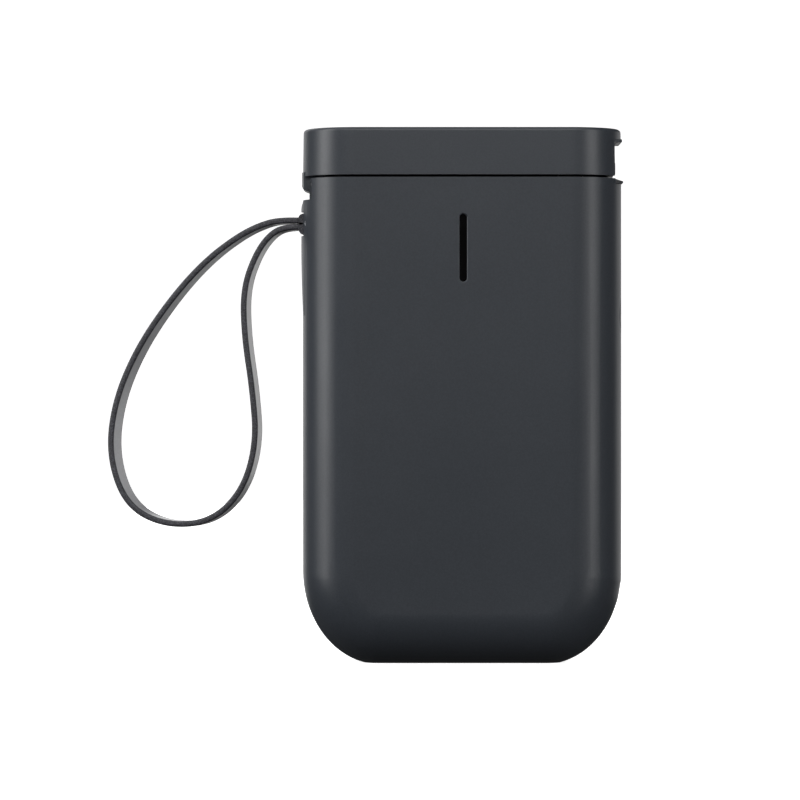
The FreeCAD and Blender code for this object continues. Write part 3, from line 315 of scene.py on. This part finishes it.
class Recipe:
    """A node material under construction: one Principled shader and helpers to feed it."""

    def __init__(self, name):
        self.material = bpy.data.materials.new(name)
        self.material.use_nodes = True
        self.tree = self.material.node_tree
        self.tree.nodes.clear()
        self.out = self.tree.nodes.new("ShaderNodeOutputMaterial")
        self.shader = self.tree.nodes.new("ShaderNodeBsdfPrincipled")
        self.link(self.shader.outputs["BSDF"], self.out.inputs["Surface"])
        self.coords = self.tree.nodes.new("ShaderNodeTexCoord").outputs["Object"]

    def link(self, source, target):
        self.tree.links.new(source, target)

    def set(self, **values):
        for name, value in values.items():
            self.shader.inputs[name.replace("_", " ")].default_value = value

    def stretched(self, scale):
        node = self.tree.nodes.new("ShaderNodeMapping")
        node.inputs["Scale"].default_value = scale
        self.link(self.coords, node.inputs["Vector"])
        return node.outputs["Vector"]

    def noise(self, scale, detail, rough=0.55, vector=None):
        node = self.tree.nodes.new("ShaderNodeTexNoise")
        node.inputs["Scale"].default_value = scale
        node.inputs["Detail"].default_value = detail
        node.inputs["Roughness"].default_value = rough
        self.link(vector or self.coords, node.inputs["Vector"])
        return node.outputs["Fac"]

    def cells(self, scale, feature="F1"):
        node = self.tree.nodes.new("ShaderNodeTexVoronoi")
        node.feature = feature
        node.inputs["Scale"].default_value = scale
        self.link(self.coords, node.inputs["Vector"])
        return node.outputs["Distance"]

    def remap(self, value, low, high, to_low, to_high):
        node = self.tree.nodes.new("ShaderNodeMapRange")
        node.inputs["From Min"].default_value = low
        node.inputs["From Max"].default_value = high
        node.inputs["To Min"].default_value = to_low
        node.inputs["To Max"].default_value = to_high
        self.link(value, node.inputs["Value"])
        return node.outputs["Result"]

    def mix(self, factor, first, second):
        node = self.tree.nodes.new("ShaderNodeMix")
        node.data_type = "RGBA"
        self.link(factor, node.inputs["Factor"])
        for socket, value in (("A", first), ("B", second)):
            target = [s for s in node.inputs if s.name == socket and s.type == "RGBA"][0]
            if isinstance(value, tuple):
                target.default_value = value
            else:
                self.link(value, target)
        return [s for s in node.outputs if s.type == "RGBA"][0]

    def math(self, operation, first, second):
        node = self.tree.nodes.new("ShaderNodeMath")
        node.operation = operation
        for socket, value in zip(node.inputs, (first, second)):
            if isinstance(value, (int, float)):
                socket.default_value = value
            else:
                self.link(value, socket)
        return node.outputs["Value"]

    def attribute(self, name):
        node = self.tree.nodes.new("ShaderNodeAttribute")
        node.attribute_name = name
        return node.outputs["Fac"]

    def bump(self, height, distance, strength):
        node = self.tree.nodes.new("ShaderNodeBump")
        node.inputs["Strength"].default_value = strength
        node.inputs["Distance"].default_value = distance
        self.link(height, node.inputs["Height"])
        self.link(node.outputs["Normal"], self.shader.inputs["Normal"])

    def colour(self, value):
        self.link(value, self.shader.inputs["Base Color"])

    def roughness(self, value):
        self.link(value, self.shader.inputs["Roughness"])


def case_plastic():
    """Dark slate-grey satin moulding with a very fine spark-eroded grain."""
    m = Recipe("case_plastic")
    cloud = m.noise(45, 3)
    fine = m.noise(2600, 2, 0.6)
    grain = m.cells(2100)
    tone = m.mix(m.remap(cloud, 0.3, 0.7, 0.0, 1.0), srgb(50, 54, 60), srgb(54, 58, 64))
    speck = m.mix(m.remap(fine, 0.35, 0.65, 0.0, 1.0), srgb(48, 52, 58), srgb(58, 62, 68))
    m.colour(m.mix(m.remap(grain, 0.0, 0.9, 0.35, 0.65), tone, speck))
    m.roughness(m.remap(m.noise(30, 4), 0.3, 0.7, 0.36, 0.41))
    height = m.math("ADD", grain, m.math("MULTIPLY", fine, 0.6))
    m.bump(height, 0.00001, 0.25)
    m.set(Specular_IOR_Level=0.5)
    return m.material


def smoked_window():
    """Near-black glossy insert behind the slit."""
    m = Recipe("smoked_window")
    m.colour(m.mix(m.noise(300, 2), srgb(4, 4, 5), srgb(8, 8, 9)))
    m.roughness(m.remap(m.noise(500, 3), 0.3, 0.7, 0.08, 0.16))
    m.bump(m.noise(160, 2), 0.00002, 0.25)
    m.set(Specular_IOR_Level=0.35)
    return m.material


def strap_leather():
    """Dark blue-grey leather: pebbled faces with a sheen, darker speckled raw edges. The faces'
    colour is lifted above the leather's own tone as a painted reflection of the pale surroundings.
    """
    m = Recipe("strap_leather")
    pebble = m.cells(1500)
    crease = m.cells(620)
    fine = m.noise(3200, 3, 0.65)
    # face colour: the leather's pebbled tone, lifted lighter as a painted reflection; the darker
    # raw-edge colour below is the leather's own
    face = m.mix(m.remap(pebble, 0.05, 0.75, 0.0, 1.0), srgb(76, 76, 84), srgb(100, 101, 111))
    edge = m.mix(m.remap(fine, 0.44, 0.62, 0.0, 1.0), srgb(22, 22, 28), srgb(70, 70, 78))
    mark = m.attribute("edge_amount")
    m.colour(m.mix(mark, face, edge))
    m.roughness(m.remap(mark, 0.0, 1.0, 0.40, 0.62))
    height = m.math("ADD", m.math("MULTIPLY", pebble, 0.7), m.math("MULTIPLY", crease, 0.6))
    m.bump(m.math("ADD", height, m.math("MULTIPLY", fine, 0.35)), 0.00006, 0.5)
    m.link(m.remap(mark, 0.0, 1.0, 0.7, 0.05), m.shader.inputs["Sheen Weight"])
    m.link(m.remap(mark, 0.0, 1.0, 0.8, 0.0), m.shader.inputs["Coat Weight"])
    m.set(Specular_IOR_Level=0.7, Sheen_Roughness=0.35, Coat_Roughness=0.3)
    return m.material


def moulded(name, dark, light, rough, scale=1400):
    """Plain engineering plastic with a faint mould texture."""
    m = Recipe(name)
    m.colour(m.mix(m.remap(m.noise(260, 4), 0.35, 0.65, 0.0, 1.0), dark, light))
    m.roughness(m.remap(m.noise(180, 3), 0.3, 0.7, rough - 0.06, rough + 0.08))
    m.bump(m.noise(scale, 3, 0.6), 0.00003, 0.4)
    return m.material


def metal(name, dark, light, rough, stretch):
    """Bare metal with drawn or stamped streaks along one direction."""
    m = Recipe(name)
    streak = m.noise(900, 4, 0.6, m.stretched(stretch))
    m.colour(m.mix(m.remap(streak, 0.3, 0.7, 0.0, 1.0), dark, light))
    m.roughness(m.remap(streak, 0.3, 0.7, rough - 0.07, rough + 0.1))
    m.bump(streak, 0.000008, 0.5)
    m.set(Metallic=1.0)
    return m.material


def rubber(name, dark, light):
    """Matt rubber, or the soft sleeve of a wire."""
    m = Recipe(name)
    m.colour(m.mix(m.noise(900, 4), dark, light))
    m.roughness(m.remap(m.noise(1200, 4), 0.3, 0.7, 0.66, 0.82))
    m.bump(m.noise(2600, 3, 0.7), 0.00003, 0.6)
    return m.material


def label_paper():
    """Coated white stock: smooth face, paper fibres, faint streaks across its width."""
    m = Recipe("label_paper")
    fibre = m.noise(1800, 5, 0.65)
    streaks = m.noise(5200, 1, 0.4, m.stretched((1.0, 0.02, 1.0)))
    m.colour(m.mix(m.remap(fibre, 0.35, 0.65, 0.0, 1.0), srgb(228, 228, 224), srgb(241, 241, 238)))
    m.roughness(m.remap(streaks, 0.3, 0.7, 0.42, 0.6))
    m.bump(m.math("ADD", fibre, streaks), 0.00001, 0.4)
    return m.material


def board_green():
    """Green solder mask over a web of lighter tracks."""
    m = Recipe("circuit_board")
    traces = m.cells(420, "DISTANCE_TO_EDGE")
    m.colour(m.mix(m.remap(traces, 0.02, 0.05, 0.0, 1.0), srgb(38, 92, 58), srgb(18, 62, 38)))
    m.roughness(m.remap(m.noise(800, 3), 0.3, 0.7, 0.25, 0.4))
    m.bump(traces, 0.00003, 0.3)
    return m.material


def light_pipe():
    """Clear, slightly cloudy plastic."""
    m = Recipe("clear_pipe")
    m.colour(m.mix(m.noise(900, 2), srgb(205, 214, 222), srgb(226, 232, 238)))
    m.roughness(m.remap(m.noise(1500, 3), 0.3, 0.7, 0.2, 0.35))
    m.bump(m.noise(2400, 2), 0.00001, 0.3)
    m.set(Transmission_Weight=0.35)
    return m.material


def foam_pad():
    """Open-cell foam, full of small holes."""
    m = Recipe("foam")
    holes = m.cells(2200)
    m.colour(m.mix(m.remap(holes, 0.1, 0.7, 0.0, 1.0), srgb(34, 34, 37), srgb(66, 66, 70)))
    m.roughness(m.remap(holes, 0.0, 0.8, 0.85, 0.98))
    m.bump(holes, 0.0002, 0.8)
    return m.material


LONG_X, LONG_Y, LONG_Z = (0.05, 1.0, 1.0), (1.0, 0.05, 1.0), (1.0, 1.0, 0.05)
MATERIALS = {
    "case_plastic": case_plastic(),
    "smoked_window": smoked_window(),
    "strap_leather": strap_leather(),
    "dark_plastic": moulded("dark_plastic", srgb(40, 41, 45), srgb(52, 53, 57), 0.45),
    "pin_steel": metal("pin_steel", srgb(150, 152, 156), srgb(196, 198, 202), 0.28, LONG_Y),
    "screw_steel": metal("screw_steel", srgb(112, 112, 118), srgb(150, 150, 156), 0.36, LONG_Y),
    "sheet_steel": metal("sheet_steel", srgb(158, 160, 164), srgb(190, 192, 196), 0.34, LONG_X),
    "head_aluminium": metal("head_aluminium", srgb(186, 188, 192), srgb(208, 210, 214), 0.4, LONG_X),
    "head_ceramic": moulded("head_ceramic", srgb(214, 206, 190), srgb(232, 226, 212), 0.22),
    "acetal": moulded("acetal", srgb(216, 216, 210), srgb(232, 232, 228), 0.42),
    "platen_rubber": rubber("platen_rubber", srgb(34, 34, 35), srgb(46, 46, 47)),
    "label_paper": label_paper(),
    "core_card": moulded("core_card", srgb(168, 140, 104), srgb(190, 162, 124), 0.85, 2200),
    "circuit_board": board_green(),
    "chip_black": moulded("chip_black", srgb(26, 26, 28), srgb(36, 36, 38), 0.55),
    "battery_wrap": moulded("battery_wrap", srgb(172, 176, 182), srgb(188, 192, 198), 0.3),
    "foam": foam_pad(),
    "wire_red": rubber("wire_red", srgb(140, 20, 20), srgb(164, 30, 28)),
    "ribbon_film": moulded("ribbon_film", srgb(176, 112, 34), srgb(196, 130, 48), 0.3),
    "clear_pipe": light_pipe(),
}


def give(obj, slot_name):
    obj.data.materials.clear()
    obj.data.materials.append(MATERIALS[slot_name])


for entry in frame["record"]["subparts"]:
    give(NODES[entry["node"]], entry["material_slot"])
for piece, slot_name in ((STRAP, "strap_leather"), (FOLD, "strap_leather"), (SPRINGS, "pin_steel")):
    give(piece, slot_name)


# ---------------------------------------------------------------- floor and light
def make_floor():
    """A wide pale floor, a hair below the base, that curves up behind into a plain pale wall."""
    half, back, sweep, rise, level = 6.0, 2.2, 1.2, 7.0, -0.05 * MM
    bend_steps = 12
    rows = [(-half, level), (back - sweep, level)]
    for step in range(1, bend_steps + 1):
        angle = math.radians(90 * step / bend_steps)
        rows.append((back - sweep + sweep * math.sin(angle), level + sweep - sweep * math.cos(angle)))
    rows.append((back, rise))
    verts = [(side * half, y, z) for y, z in rows for side in (-1, 1)]
    faces = [(2 * i, 2 * i + 1, 2 * i + 3, 2 * i + 2) for i in range(len(rows) - 1)]
    floor = build_mesh("floor", verts, faces)
    floor.data.polygons.foreach_set("use_smooth", [True] * len(floor.data.polygons))
    m = Recipe("floor_paper")
    paper = m.mix(m.noise(3, 2), srgb(250, 250, 250), srgb(253, 253, 253))
    m.colour(paper)
    m.link(paper, m.shader.inputs["Emission Color"])
    m.set(Roughness=0.9, Specular_IOR_Level=0.1, Emission_Strength=0.9)
    floor.data.materials.append(m.material)
    floor.visible_diffuse = False
    floor.visible_glossy = False


MIDDLE = Vector((-0.015, 0.0, 0.06))
AMBIENT = 0.045
SOFTBOXES = [            # name, bearing, rise, distance, size, power
    ("left_box", -73, 0.34, 0.85, (0.44, 0.9), 6.9),
    ("right_box", 53, 0.20, 0.90, (0.34, 0.8), 3.0),
    ("front_fill", -4, 0.90, 1.60, (1.6, 1.0), 14.4),
    ("top_fill", 0, 1.20, 0.05, (1.2, 0.8), 3.5),
    ("back_left", -158, 0.35, 0.95, (0.8, 1.2), 3.4),
    ("low_right", 150, 0.02, 0.60, (0.6, 0.30), 0.45),
]


def softbox(name, bearing, rise, distance, size, power):
    """Area light aimed at the object; bearing is in degrees from the front towards +X."""
    angle = math.radians(bearing)
    data = bpy.data.lights.new(name, "AREA")
    data.shape = "RECTANGLE"
    data.size, data.size_y = size
    data.energy = power
    light = bpy.data.objects.new(name, data)
    light.location = MIDDLE + Vector((distance * math.sin(angle), -distance * math.cos(angle), rise))
    aim = MIDDLE - light.location
    light.rotation_euler = aim.to_track_quat("-Z", "Y").to_euler()
    light.visible_camera = False
    SCENE.collection.objects.link(light)


def make_lights():
    for box in SOFTBOXES:
        softbox(*box)
    world = bpy.data.worlds.new("studio")
    world.use_nodes = True
    world.node_tree.nodes["Background"].inputs["Color"].default_value = (1.0, 1.0, 1.0, 1.0)
    world.node_tree.nodes["Background"].inputs["Strength"].default_value = AMBIENT
    SCENE.world = world


make_floor()
make_lights()

SCENE.view_settings.view_transform = "Standard"
